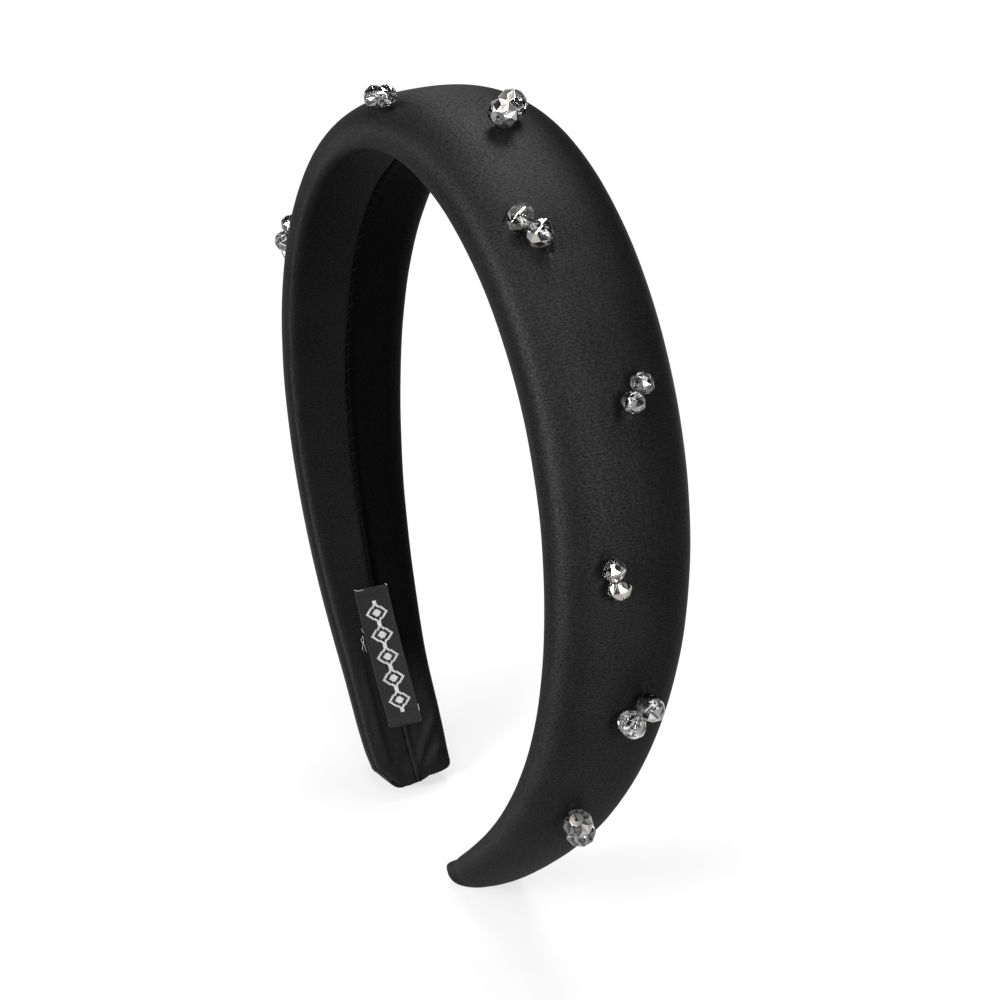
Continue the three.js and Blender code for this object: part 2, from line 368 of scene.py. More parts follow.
def satin_material():
    """Black satin: fine ribs across the band, a finer twill between them, and a soft uneven shine; painted shade
    darkens the colour and shine of the inner face.
    """
    m = Nodes("black_satin")
    cloth = m.attribute("cloth_mm")
    ribs = m.wave(cloth, WAVE_PERIOD / SATIN_RIBS, "X", 1.6, 1.1)
    floats = m.wave(cloth, WAVE_PERIOD / SATIN_FLOATS, "Y", 0.8, 0.5)
    patches = m.noise(cloth, 0.09, 4)
    slubs = m.noise(m.scaled(cloth, (2.4, 0.25, 1)), 1.0, 3)
    grain = m.noise(m.scaled(cloth, (2.6, 1.5, 1)), 1.0, 3, 0.7)
    gaps = m.ramp(m.noise(cloth, 0.9, 2), (0.35, 0), (0.65, 1))
    broken = m.maths("MULTIPLY", ribs, gaps)
    weave = m.weighted((broken, 0.4), (floats, 0.3), (grain, 2.4), (slubs, 0.4))
    shine = m.weighted((grain, 0.79), (broken, 0.08), (patches, 0.13))
    grained = m.ramp(shine, (0.36, 0), (0.60, 1))
    colour = m.ramp(
        m.weighted((weave, 0.35), (patches, 0.35)),
        (0.25, (0.0008, 0.0008, 0.0009)),
        (0.9, (0.0026, 0.0026, 0.0027)),
    )
    # painted shade: the attribute carried on the inner face mixes the satin's colour towards black
    colour = m.mix(m.attribute("sheen"), PAINTED_SHADE_BLACK, colour)
    unevenness = m.weighted((slubs, 0.5), (patches, 0.5))
    along_band = m.add("ShaderNodeTangent", direction_type="UV_MAP", uv_map="band").outputs[0]
    return m.set(
        Base_Color=colour,
        Roughness=m.spread(unevenness, 0.5, 0.62),
        IOR=1.14,
        # painted shade: the same attribute lowers the inner face's shine
        Specular_IOR_Level=m.maths("MULTIPLY", m.spread(grained, 0.2, 0.8), m.attribute("sheen")),
        Anisotropic=0.75,
        Tangent=along_band,
        Normal=m.bump(weave, 0.3, 0.00008),
    )


def ribbon_material():
    """Charcoal label ribbon with a pale woven border motif: a chain of lozenges."""
    m = Nodes("label_ribbon")
    cloth = m.attribute("cloth_mm")
    parts = m.add("ShaderNodeSeparateXYZ")
    m.join(cloth, parts.inputs[0])

    def stepped(value):
        threads = m.maths("ROUND", m.maths("DIVIDE", value, RIBBON_WEAVE))
        return m.maths("MULTIPLY", threads, RIBBON_WEAVE)

    along = stepped(parts.outputs["X"])
    across = m.maths("ABSOLUTE", stepped(parts.outputs["Y"]))
    from_centre = m.maths("PINGPONG", along, LOZENGE_PITCH / 2)
    lozenge = m.maths("ADD", m.maths("MULTIPLY", from_centre, LOZENGE_STRETCH), across)
    ring_inside, ring_outside = LOZENGE_RING
    ring = m.maths(
        "MULTIPLY",
        m.maths("LESS_THAN", lozenge, ring_outside),
        m.maths("GREATER_THAN", lozenge, ring_inside),
    )
    core = m.maths("LESS_THAN", lozenge, LOZENGE_CORE)
    between_two = m.maths("GREATER_THAN", from_centre, LOZENGE_PITCH / 2 - KNOT_HALF_LENGTH)
    knot = m.maths("MULTIPLY", between_two, m.maths("LESS_THAN", across, KNOT_HALF_WIDTH))
    motif = m.maths("MAXIMUM", m.maths("MAXIMUM", ring, core), knot)
    inside = m.maths("LESS_THAN", m.maths("ABSOLUTE", parts.outputs["X"]), MOTIF_HALF_LENGTH)
    motif = m.maths("MULTIPLY", motif, inside)
    warp = m.wave(cloth, WAVE_PERIOD / RIBBON_WEAVE, "Y", 0.3)
    weft = m.wave(cloth, WAVE_PERIOD / RIBBON_WEAVE, "X", 0.3)
    weave = m.maths("MULTIPLY", warp, weft)
    pale = m.ramp(weft, (0.2, 0.1), (0.8, (0.3, 0.3, 0.305)))
    dark = m.ramp(weave, (0.0, (0.002, 0.002, 0.0022)), (1.0, (0.008, 0.0083, 0.0086)))
    height = m.maths("ADD", weave, m.maths("MULTIPLY", motif, 1.2))
    return m.set(
        Base_Color=m.mix(motif, dark, pale),
        Roughness=0.7,
        IOR=1.22,
        Normal=m.bump(height, 0.7, 0.00012),
    )


def thread_material(name, dark, light):
    m = Nodes(name)
    fibres = m.noise(m.object_point(), 9000, 3)
    colour = m.ramp(fibres, (0.3, dark), (0.75, light))
    return m.set(Base_Color=colour, Roughness=0.7, IOR=1.1, Normal=m.bump(fibres, 0.4, 0.00004))


def sponge_material():
    m = Nodes("grey_sponge")
    cells = m.add("ShaderNodeTexVoronoi", Scale=1800.0)
    m.join(m.object_point(), cells.inputs["Vector"])
    distance = cells.outputs["Distance"]
    colour = m.ramp(distance, (0.1, (0.12, 0.12, 0.115)), (0.6, (0.32, 0.32, 0.31)))
    return m.set(Base_Color=colour, Roughness=0.95, Normal=m.bump(distance, 0.9, 0.0004))


def hoop_material():
    m = Nodes("black_hoop_plastic")
    grain = m.noise(m.object_point(), 600, 4)
    colour = m.ramp(grain, (0.3, (0.012, 0.012, 0.013)), (0.8, (0.026, 0.026, 0.028)))
    roughness = m.spread(grain, 0.28, 0.4)
    return m.set(Base_Color=colour, Roughness=roughness, Normal=m.bump(grain, 0.15, 0.0001))


def clear_crystal_material():
    """Smoky clear glass; each facet is ground a little differently."""
    m = Nodes("smoky_crystal")
    facet = m.attribute("facet", "Fac")
    streaks = m.noise(m.scaled(m.object_point(), (1, 1, 3)), 700, 3)
    tone = m.weighted((facet, 0.7), (streaks, 0.3))
    return m.set(
        Base_Color=m.ramp(tone, (0.2, (0.26, 0.26, 0.27)), (0.8, 0.66)),
        Roughness=m.spread(facet, 0.0, 0.03),
        IOR=1.62,
        Transmission_Weight=1.0,
        Normal=m.bump(streaks, 0.04, 0.00005),
    )


def coated_crystal_material():
    """The side of a crystal that carries a thin silver coat: facets from dark steel to pale warm silver."""
    m = Nodes("silvered_crystal")
    facet = m.attribute("facet", "Fac")
    patches = m.noise(m.object_point(), 900, 3)
    tone = m.weighted((facet, 0.8), (patches, 0.2))
    colour = m.ramp(
        tone,
        (0.15, (0.03, 0.03, 0.034)),
        (0.45, 0.14),
        (0.65, (0.32, 0.30, 0.27)),
        (0.85, 0.46),
    )
    return m.set(
        Base_Color=colour,
        Metallic=0.9,
        Roughness=m.spread(facet, 0.12, 0.34),
        IOR=1.6,
        Coat_Weight=0.6,
        Coat_Roughness=0.02,
        Normal=m.bump(patches, 0.06, 0.00006),
    )


def drilled_hole_material():
    """The ground wall of a crystal's hole: pale, frosted, with fine rings left by the drill."""
    m = Nodes("drilled_hole")
    rings = m.noise(m.object_point(), 3000, 2)
    return m.set(
        Base_Color=m.ramp(rings, (0.3, 0.2), (0.7, 0.5)),
        Metallic=0.7,
        Roughness=0.35,
        Normal=m.bump(rings, 0.3, 0.00005),
    )


def floor_material():
    m = Nodes("pale_floor")
    grain = m.noise(m.object_point(), 40, 3)
    colour = m.ramp(grain, (0.3, 0.055), (0.7, 0.065))
    return m.set(Base_Color=colour, Roughness=0.9, Emission_Color=(1, 1, 1, 1), Emission_Strength=0.68)


SATIN = satin_material()
RIBBON = ribbon_material()
BLACK_THREAD = thread_material("black_thread", 0.0008, (0.004, 0.004, 0.0042))
PALE_THREAD = thread_material("pale_thread", (0.10, 0.10, 0.095), (0.34, 0.34, 0.33))
SPONGE = sponge_material()
PLASTIC = hoop_material()
CLEAR = clear_crystal_material()
COATED = coated_crystal_material()
DRILLED = drilled_hole_material()


# ---------------- camera, lights and floor

AZIMUTH, ELEVATION, ROLL = math.radians(62.18), math.radians(32.4), math.radians(4.24)
CAMERA_DISTANCE = 0.8075
CAMERA_AIM = Vector((0.01347, 0, CROWN_HEIGHT * MM - 0.066))
CAMERA_LENS = 147.7
SENSOR_WIDTH = 36


def towards(azimuth, elevation):
    """A direction: azimuth is from straight in front towards the right."""
    level = math.cos(elevation)
    return Vector((math.sin(azimuth) * level, -math.cos(azimuth) * level, math.sin(elevation)))


def make_camera():
    back = towards(AZIMUTH, ELEVATION)
    level_right = Vector((math.cos(AZIMUTH), math.sin(AZIMUTH), 0))
    level_up = back.cross(level_right)
    right = level_right * math.cos(ROLL) + level_up * math.sin(ROLL)
    up = back.cross(right)
    camera = new_object("camera", bpy.data.cameras.new("camera"))
    camera.data.lens = CAMERA_LENS
    camera.data.sensor_width = SENSOR_WIDTH
    camera.data.clip_start = 0.01
    turn = Matrix((right, up, back)).transposed().to_4x4()
    camera.matrix_world = Matrix.Translation(CAMERA_AIM + back * CAMERA_DISTANCE) @ turn
    bpy.context.scene.camera = camera


LIGHT_AIM = Vector((0, 0, 0.08))
LIGHT_DISTANCE = 1.35

# The softboxes, as azimuth, elevation, side in metres, and watts.
LIGHTS = {
    "front": (13, 22, 0.5, 74),
    "front_high": (30, 50, 0.5, 15),
    "overhead": (-30, 82, 0.5, 22),
    "right": (98, 25, 0.5, 36),
    "back_left": (-120, 50, 0.5, 30),
}


def make_light(name, azimuth, elevation, side, power):
    data = bpy.data.lights.new(name, "AREA")
    data.size = side
    data.energy = power
    light = new_object(name, data)
    away = towards(math.radians(azimuth), math.radians(elevation))
    light.location = LIGHT_AIM + away * LIGHT_DISTANCE
    light.rotation_mode = "QUATERNION"
    light.rotation_quaternion = away.to_track_quat("Z", "Y")


FLOOR_REACH = 6000
WORLD_STRENGTH = 0.05


def make_stage():
    corners = [(x * FLOOR_REACH, y * FLOOR_REACH, 0) for x, y in ((-1, -1), (1, -1), (1, 1), (-1, 1))]
    floor = new_object("floor", mesh_from("floor", corners, [(0, 1, 2, 3)]), floor_material())
    world = bpy.data.worlds.new("studio")
    world.use_nodes = True
    background = world.node_tree.nodes["Background"]
    background.inputs["Color"].default_value = (1, 1, 1, 1)
    background.inputs["Strength"].default_value = WORLD_STRENGTH
    bpy.context.scene.world = world
    bpy.context.scene.view_settings.view_transform = "Standard"
    for name, values in LIGHTS.items():
        make_light(name, *values)


# ---------------- the satin sleeve

PAIRS = sorted({name[:-1] for name in frame["nodes"] if name.startswith("crystal_") and name[-1] in "ab"})


def centre_of(node):
    low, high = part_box(node)
    return (low + high) / 2


def pair_places():
    """Each pair's two centres and the point midway, in millimetres."""
    found = []
    for pair in PAIRS:
        ends = [np.array(centre_of(pair + end)) / MM for end in "ab"]
        found.append({"name": pair, "ends": ends, "middle": (ends[0] + ends[1]) / 2})
    return found


PLACES = pair_places()


def rounding(s, reach, depth):
    """How far a surface has drawn in near a tip: a quarter ellipse of that reach and depth."""
    near = np.clip((np.abs(s) - (HALF_ARC - reach)) / reach, 0, 1)
    return depth * (1 - np.sqrt(1 - near**2))


def base_surface(s, share, proud=0.0):
    """The sleeve's outside before wrinkles: (y, n), for arrays of s and of shares of the girth."""
    half_width = half_width_at(s) + proud - rounding(s, TIP_ROUND, TIP_ROUND)
    thickness = thickness_at(s) + proud - rounding(s, TIP_TAPER, TIP_DROP)
    return section(angle_round(share), half_width, thickness)


FOOT_BEYOND = 0.15


def feet_of(place):
    """The two places, as points, where a pair's thread goes into the satin."""
    a, b = place["ends"]
    apart = np.linalg.norm(b - a)
    direction = (b - a) / apart
    return [place["middle"] + sign * direction * (apart + FOOT_BEYOND) for sign in (-1, 1)]


# The satin's dimples round each foot, as (depth, radius): one from the stitch and one from the crystals.
STITCH_DIMPLE = (0.45, 0.9)
PRESS_DIMPLE = (0.1, 2.8)
DIMPLE_REACH = 7


def dimples(points, normals):
    """How far each point of the sleeve is pulled in under the crystals and by their threads."""
    depth = np.zeros(points.shape[:-1])
    for place in PLACES:
        for foot in feet_of(place):
            away = points - foot
            up = (away * normals).sum(-1)
            flat = np.sqrt(np.maximum((away**2).sum(-1) - up**2, 0))
            both = sum(deep * hump(flat, radius) for deep, radius in (STITCH_DIMPLE, PRESS_DIMPLE))
            depth += (np.abs(up) < DIMPLE_REACH) * both
    return depth


def grid_normals(grid):
    cross = np.cross(np.gradient(grid, axis=0), np.gradient(grid, axis=1))
    return -cross / np.maximum(np.linalg.norm(cross, axis=-1, keepdims=True), 1e-12)


# The cloth simulation, ten times life size: it starts just inside the sleeve, held at its seam and stitches.
CLOTH_GRID = (200, 44)
CLOTH_SCALE = 10
CLOTH_FRAMES = 20
CLOTH_END_INSET = 0.5
CLOTH_START_DEPTH = 0.25
CLOTH_SEWN_SHARE = 0.8
CLOTH_CAP = 0.9
HELD_SHARE = 0.17
HELD_ROWS = 2
HELD_DEPTH = 0.5
CLOTH_SETTINGS = {
    "quality": 6,
    "mass": 0.3,
    "tension_stiffness": 12,
    "compression_stiffness": 12,
    "shear_stiffness": 6,
    "bending_stiffness": 0.6,
    "use_pressure": True,
    "uniform_pressure_force": 4,
    "vertex_group_mass": "held",
}


def padding_lift(rows, columns):
    """How the cloth settles over the foam between its seam and its stitches: a cloth simulation's lift."""
    reach = HALF_ARC - CLOTH_END_INSET
    s = np.linspace(-reach, reach, rows)[:, None]
    share = np.linspace(0, 1, columns)[None, :]
    rest = on_band(s, *base_surface(s, share))
    normals = grid_normals(rest)
    sewn = dimples(rest, normals)
    start = rest - (CLOTH_START_DEPTH + CLOTH_SEWN_SHARE * sewn)[..., None] * normals
    mesh = mesh_from("padding", start * CLOTH_SCALE, grid_faces(rows, columns))
    obj = new_object("padding", mesh)
    held = obj.vertex_groups.new(name="held")
    row = np.arange(rows)[:, None]
    at_end = (row < HELD_ROWS) | (row > rows - 1 - HELD_ROWS)
    near_seam = np.minimum(share, 1 - share) < HELD_SHARE
    pinned = near_seam | at_end | (sewn > HELD_DEPTH)
    held.add(np.flatnonzero(pinned).tolist(), 1.0, "REPLACE")
    cloth = obj.modifiers.new("cloth", "CLOTH")
    for name, value in CLOTH_SETTINGS.items():
        setattr(cloth.settings, name, value)
    cloth.settings.effector_weights.gravity = 0
    cloth.collision_settings.use_collision = False
    cloth.point_cache.frame_start = 1
    cloth.point_cache.frame_end = CLOTH_FRAMES
    scene = bpy.context.scene
    for number in range(1, CLOTH_FRAMES + 1):
        scene.frame_set(number)
    graph = bpy.context.evaluated_depsgraph_get()
    settled = obj.evaluated_get(graph).to_mesh()
    moved = np.empty(len(settled.vertices) * 3)
    settled.vertices.foreach_get("co", moved)
    lift = ((moved.reshape(rest.shape) / (MM * CLOTH_SCALE) - rest) * normals).sum(-1)
    bpy.data.objects.remove(obj)
    scene.frame_set(1)
    return np.clip(lift - np.median(lift), -CLOTH_CAP, CLOTH_CAP)


def curve(a, b, c, d, t):
    """The Catmull-Rom curve from b to c, with a before and d after, at t from 0 to 1."""
    return 0.5 * (2 * b + (c - a) * t + (2 * a - 5 * b + 4 * c - d) * t**2 + (3 * b - a - 3 * c + d) * t**3)


def spread_grid(grid, places_along, places_round):
    """An even grid's values at other places from 0 to 1 along each way."""
    def resample(values, places):
        last = len(values) - 1
        t = places * last
        i = np.clip(t.astype(int), 0, last - 1)
        return curve(*(values[np.clip(i + k, 0, last)] for k in (-1, 0, 1, 2)), (t - i)[:, None])
    return resample(resample(grid, places_along).T, places_round).T


def noise_field(s, across, wavelength, seed):
    return np.array([
        perlin.noise(Vector((a / wavelength[0], b / wavelength[1], seed)))
        for a, b in zip(s.ravel(), across.ravel())
    ]).reshape(s.shape)


def ease(value, low, high):
    """0 below low, 1 above high, smooth between them; low may be the larger."""
    t = np.clip((value - low) / (high - low), 0, 1)
    return t * t * (3 - 2 * t)


def hump(distance, width):
    return np.exp(-((distance / width) ** 2))


# The folded edge that laps over the seam and the flat edge beneath it: (step across, lift) of each column.
LAP = np.array([(0.7, -0.28), (0.0, -0.24), (-0.38, -0.16), (-0.5, -0.02), (-0.48, 0.12), (-0.36, 0.22)])
UNDER = np.array([(0.2, -0.3), (0.6, -0.34)])

# Distances from the seam of the columns nearest it, and how many go round the rest of the girth.
SEAM_COLUMNS = np.array([0.0, 0.12, 0.28, 0.5, 0.75, 1.05, 1.4, 1.8, 2.3, 2.8])
FIRST_ROUND_COLUMN = 3.3
ROUND_COLUMNS = 126
# The roll of the folded edge and the tuck in front of it, as (height, width).
LAP_ROLL = (0.24, 1.2)
LAP_TUCK = (0.26, 0.8)


def line_of_columns():
    """The sleeve's columns round its girth: shares of it, steps across the seam, and their lift.

    The back edge of the cloth is folded under and laps over the front edge, which runs in beneath it.
    """
    close = SEAM_COLUMNS / GIRTH
    first = FIRST_ROUND_COLUMN / GIRTH
    middle = np.linspace(first, 1 - first, ROUND_COLUMNS)
    shares = np.concatenate([close, middle, 1 - close[::-1]])
    steps = np.concatenate([LAP[:, 0], np.zeros(len(shares)), UNDER[:, 0]])
    roll = LAP_ROLL[0] * hump(shares * GIRTH, LAP_ROLL[1])
    roll -= LAP_TUCK[0] * hump((1 - shares) * GIRTH, LAP_TUCK[1])
    lifts = np.concatenate([LAP[:, 1], roll, UNDER[:, 1]])
    shares = np.concatenate([np.zeros(len(LAP)), shares, np.ones(len(UNDER))])
    return shares, steps, lifts


# The left tip's folded end line, as (place across, how far it draws back): -1 is the front edge.
LEFT_END_LINE = np.array([
    (-1.0, 2.4), (-0.78, 1.0), (-0.62, -0.2), (-0.37, -0.5), (0.0, -0.1),
    (0.13, -0.1), (0.36, 0.5), (0.58, 0.8), (0.78, 0.6), (1.0, 0.1)])
TIP_PULL_REACH = 9


def tip_pull(s, v):
    """How far the folded end draws back: v runs from the front edge, -1, to the back edge, 1."""
    left = np.interp(v, *LEFT_END_LINE.T) + 0.08 * np.sin(17 * v)
    right = 0.5 * ease(v, -0.3, -1.0) + 0.4 * ease(v, 0.4, 1.0) + 0.22 * np.sin(4.3 * v + 2.1)
    return ease(np.abs(s), HALF_ARC - TIP_PULL_REACH, HALF_ARC) * np.where(s < 0, left, right)


# Folds on the inner face of the left leg: height, width, the place (s, y) that each passes through, its
# slope, its width along y over its true width, and the distances from the tip over which it rises and fades.
LEG_FOLDS = (
    (0.32, 0.8, (-190, -5.4), -0.05, 1.0, (1, 8), (34, 20)),
    (0.34, 0.8, (-191, 4.4), 0.62, 1.18, (1, 4), (15, 10)),
    (0.3, 0.9, (-195, 5.6), 0.8, 1.28, (0.5, 3), (9, 5)),
)
# A hollow above the label, as depth, place (s, y) and widths along and across.
HOLLOW = (0.25, (-155.0, 1.8), (2.6, 1.5))
# The slack where the right leg's sponge ends, as depth, place along and width.
SLACK = (0.5, 192.3, 1.9)
# The swell of each turned end, as height, distance from the end and width.
SWELL = (0.22, 2.0, 1.8)


def fold(s, y, height, width, through, slope, widened, rise, fade):
    away = (y - through[1] - slope * (s - through[0])) / widened
    from_end = HALF_ARC - np.abs(s)
    return height * hump(away, width) * ease(from_end, *rise) * ease(from_end, *fade)


def creases(s, y, inner):
    """Folds and pulls in the satin: inner is 1 on the inner face and 0 on the outside."""
    lines = sum(fold(s, y, *values) for values in LEG_FOLDS)
    depth, (s_hollow, y_hollow), (length, width) = HOLLOW
    lines -= depth * hump(y - y_hollow, width) * hump(s - s_hollow, length)
    depth, s_slack, length = SLACK
    slack = depth * hump(s - s_slack, length) * (0.35 + 0.65 * inner) * ease(y, 6, -4)
    height, from_end, length = SWELL
    swell = height * hump(HALF_ARC - np.abs(s) - from_end, length)
    return np.where(s < 0, lines, 0.0) * inner - slack + swell


# Waves in the satin, as height and wavelengths along and across.
BROAD_WAVES = (0.12, (34, 22))
SLANTING_WAVES = (0.05, (11, 17))
FINE_WAVES = (0.035, (4.5, 7))


def wrinkles(s, across, inner):
    """Uneven waves in the cloth, stronger where it is loose: on the inner face and towards the tips."""
    loose = 1 + 1.4 * inner + 1.6 * ease(np.abs(s), 182, 199)
    height, lengths = BROAD_WAVES
    waves = height * noise_field(s, across, lengths, seed=3.0)
    height, lengths = SLANTING_WAVES
    waves += height * loose * noise_field(s + 0.7 * across, across - 0.5 * s, lengths, seed=7.0)
    height, lengths = FINE_WAVES
    near_tips = ease(np.abs(s), 150, 195)
    waves += height * loose * near_tips * noise_field(s - 0.9 * across, across, lengths, seed=9.0)
    return waves


# How much wider the sleeve is than its CAD stand-in: at the tips, and along the middle of the right leg.
TIP_FLARE = 0.9
RIGHT_FLARE_SHARE = 0.3
LEG_FULLNESS = 0.6


def flared(s, y):
    flare = TIP_FLARE * ease(np.abs(s), 172, 193) * np.where(s < 0, 1, RIGHT_FLARE_SHARE)
    flare += LEG_FULLNESS * ease(s, 40, 95) * ease(s, 197, 172)
    return y * (1 + flare / half_width_at(s))


# The turned end of the sleeve, row by row: how far out, how large, and how much the cloth stands proud.
TURNED_END = (
    (0.3, 1.0, 0.16), (0.62, 0.98, 0.1), (0.72, 0.86, 0.0),
    (0.5, 0.6, 0.0), (0.2, 0.3, 0.0), (0.0, 0.0, 0.0))
TURNED_ROWS = len(TURNED_END)
TURNED_NARROWING = 0.4


def turned_ends(s, y, n, lift):
    """Draws each end back to its folded line and turns its last rows in, for new (s, y, n, lift)."""
    y, n, lift = y.copy(), n.copy(), lift.copy()
    v = np.clip(y / half_width_at(s), -1, 1)
    s = s - np.sign(s) * tip_pull(s, v)
    middle = thickness_at(HALF_ARC) / 2 - TIP_DROP / 2
    for row, (out, size, proud) in enumerate(TURNED_END):
        for k, side in ((TURNED_ROWS - 1 - row, -1), (len(s) - TURNED_ROWS + row, 1)):
            s[k] += side * out * (1 - v[k] ** 2)
            y[k] *= 1 - TURNED_NARROWING * (1 - size)
            n[k] = middle + (n[k] - middle) * size
            lift[k] = lift[k] * size + proud
    return s, y, n, lift


CALMED_ROWS = 8
CALMING_ROUNDS = 6


def calmed_ends(grid):
    """Rounds off the sharpest turns of the cloth in the rows nearest each end."""
    grid = grid.copy()
    reach = TURNED_ROWS + CALMED_ROWS
    for _ in range(CALMING_ROUNDS):
        around = (grid[:-2, 1:-1] + grid[2:, 1:-1] + grid[1:-1, :-2] + grid[1:-1, 2:]) / 4
        step = (around - grid[1:-1, 1:-1]) / 2
        grid[1:reach, 1:-1] += step[:reach - 1]
        grid[-reach:-1, 1:-1] += step[1 - reach:]
    return grid


SLEEVE_ROWS = 801
PROUD = 0.12
ROWS_PAST_ROUNDING = 4


def cloth_normals(s, share):
    """The sleeve's normals before wrinkles: turned ends and lap take those of the cloth beside them."""
    rows, columns = s.shape
    plain = on_band(s, *base_surface(s, share, PROUD))
    normals = grid_normals(plain[TURNED_ROWS:rows - TURNED_ROWS, len(LAP):columns - len(UNDER)])
    row = np.clip(np.arange(rows) - TURNED_ROWS, ROWS_PAST_ROUNDING, SLEEVE_ROWS - 1 - ROWS_PAST_ROUNDING)
    column = np.clip(np.arange(columns) - len(LAP), 0, normals.shape[1] - 1)
    return normals[row][:, column]


# The stitches that close the sleeve, and how the lap bends to them.
STITCH_PITCH = 3.1
STITCH_REACH = 0.55
STITCH_TUG = 0.1
SEAM_REACH = 2.2
SEAM_WANDER = 0.22
SEAM_WANDER_LENGTH = 17

DIMPLE_SHARE = 0.9
# How much painted shade darkens the inner face's colour and shine, behind the seam and in front of it.
PAINTED_SHADE_BEHIND = 0.8
PAINTED_SHADE_IN_FRONT = 0.2


def make_sleeve():
    shares, seam_steps, seam_lifts = line_of_columns()
    s_line = np.linspace(-HALF_ARC, HALF_ARC, SLEEVE_ROWS)
    s_line = np.pad(s_line, TURNED_ROWS, "edge")
    rows, columns = len(s_line), len(shares)
    s, share = np.meshgrid(s_line, shares, indexing="ij")
    across = share * GIRTH
    inner = ease(-np.sin(angle_round(share)), 0.25, 0.8)

    # the lap follows the stitches that draw it down
    stitch = hump(np.mod(s, STITCH_PITCH) - STITCH_PITCH / 2, STITCH_REACH)
    wander = SEAM_WANDER * noise_field(s, across * 0, (SEAM_WANDER_LENGTH, 1), seed=11.0)
    near_seam = hump(np.minimum(share, 1 - share) * GIRTH, SEAM_REACH)
    y, n = base_surface(s, share, PROUD)
    y = y + seam_steps + near_seam * (wander + STITCH_TUG * stitch)

    normals = cloth_normals(s, share)
    lift = -DIMPLE_SHARE * dimples(on_band(s, y, n), normals)
    lift += spread_grid(padding_lift(*CLOTH_GRID), (s_line + HALF_ARC) / (2 * HALF_ARC), shares)
    lift += wrinkles(s, across, inner)
    lift += creases(s, y, inner)
    lift += seam_lifts - near_seam * STITCH_TUG * stitch

    turned_s, y, n, lift = turned_ends(s, flared(s, y), n, lift)
    points = calmed_ends(on_band(turned_s, y, n) + lift[..., None] * normals)
    mesh = mesh_from("satin_sleeve", points, grid_faces(rows, columns))
    obj = new_object("satin_sleeve", mesh, SATIN)
    store(mesh, "cloth_mm", np.stack([s, across, np.zeros_like(s)], -1))
    # painted shade: the inner face is darkened in colour and shine, most behind the seam, fading out near the tips
    painted_shade_depth = np.where(share < 0.5, PAINTED_SHADE_BEHIND, PAINTED_SHADE_IN_FRONT)
    sheen = 1 - inner * painted_shade_depth * ease(np.abs(s), 188, 170)
    store(mesh, "sheen", np.repeat(sheen, 3))
    lay_out(mesh, s.ravel(), across.ravel())
    fix_normals(obj)
    smooth(obj)
    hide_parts("cover_left", "cover_right")
    crosses_flex(obj)


# ---------------- threads

def directions_across(path):
    """Two directions across a path at each of its points."""
    tangent = np.gradient(path, axis=0)
    tangent /= np.maximum(np.linalg.norm(tangent, axis=1, keepdims=True), 1e-9)
    normal = np.cross(tangent[0], (0.31, 0.77, 0.55))
    normals = []
    for direction in tangent:
        normal = normal - direction * (normal @ direction)
        normal /= np.linalg.norm(normal)
        normals.append(normal)
    return np.array(normals), np.cross(tangent, normals)


def smooth_path(points, steps):
    """A Catmull-Rom curve through the points."""
    points = np.asarray(points, float)
    padded = np.vstack([2 * points[0] - points[1], points, 2 * points[-1] - points[-2]])
    t = np.linspace(0, len(points) - 1, steps)
    i = np.minimum(t.astype(int), len(points) - 2)
    return curve(*(padded[i + k] for k in range(4)), (t - i)[:, None])


def add_tube(points, faces, path, radius, sides=6):
    normals, others = directions_across(path)
    turn = np.linspace(0, 2 * math.pi, sides, endpoint=False)[:, None]
    rings = path[:, None] + (np.cos(turn) * normals[:, None] + np.sin(turn) * others[:, None]) * radius
    first = len(points)
    points += rings.reshape(-1, 3).tolist()
    faces += [tuple(first + k for k in face) for face in tube_faces(len(path), sides)]


def add_twine(points, faces, path, radius, lay=1.4, strands=2):
    """A thread of twisted strands along a path: lay is the length of one turn."""
    normals, others = directions_across(path)
    steps = np.linalg.norm(np.diff(path, axis=0), axis=1)
    angle = np.concatenate([[0], np.cumsum(steps)]) * 2 * math.pi / lay
    for strand in range(strands):
        turn = angle + strand * 2 * math.pi / strands
        away = np.cos(turn)[:, None] * normals + np.sin(turn)[:, None] * others
        add_tube(points, faces, path + away * radius * 0.5, radius * 0.55)


def thread_object(name, points, faces, material, slot, *nodes):
    obj = new_object(name, mesh_from(name, points, faces), material)
    fix_normals(obj)
    smooth(obj, 50)
    if nodes:
        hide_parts(*nodes)
    return obj


SEAM_THREAD_RADIUS = 0.08
# One stitch of the seam's thread, as (s, y, n) from its middle, and how much its slant adds to y and to n.
STITCH_PATH = (
    (-1.1, 0.1, 0.45, 0, 0), (-0.42, -0.72, 0.2, 0, 0), (-0.16, -0.6, -0.08, 0, 0.1),
    (0.12, -0.2, -0.2, 1, 0), (0.42, 0.16, -0.1, 1, 0), (0.62, 0.24, 0.2, 0, 0))
STITCH_SLANT = 0.16


def make_seam_thread():
    """The running thread that closes the sleeve: one small slanting stitch over the lap at each pitch."""
    first = math.floor((-SEAM_END + 1) / STITCH_PITCH)
    last = math.ceil((SEAM_END - 1) / STITCH_PITCH)
    path = []
    for number in range(first, last):
        middle = (number + 0.5) * STITCH_PITCH
        slant = STITCH_SLANT * math.sin(number * 2.4)
        path += [(middle + s, y + slant * lean, n + slant * dip) for s, y, n, lean, dip in STITCH_PATH]
    s, y, n = np.array(path).T
    points, faces = [], []
    add_tube(points, faces, smooth_path(on_band(s, y, n), len(path) * 3), SEAM_THREAD_RADIUS, 5)
    obj = thread_object(
        "seam_thread", points, faces, BLACK_THREAD, "black_thread", "seam_thread_left", "seam_thread_right")
    crosses_flex(obj)


def satin_place(point):
    """The place (s, y) on the outside of the band that lies nearest under a point."""
    s = np.linspace(-HALF_ARC, HALF_ARC, 3201)
    line = on_band(s, point[1], thickness_at(s))
    return s[np.linalg.norm(line - point, axis=1).argmin()], point[1]


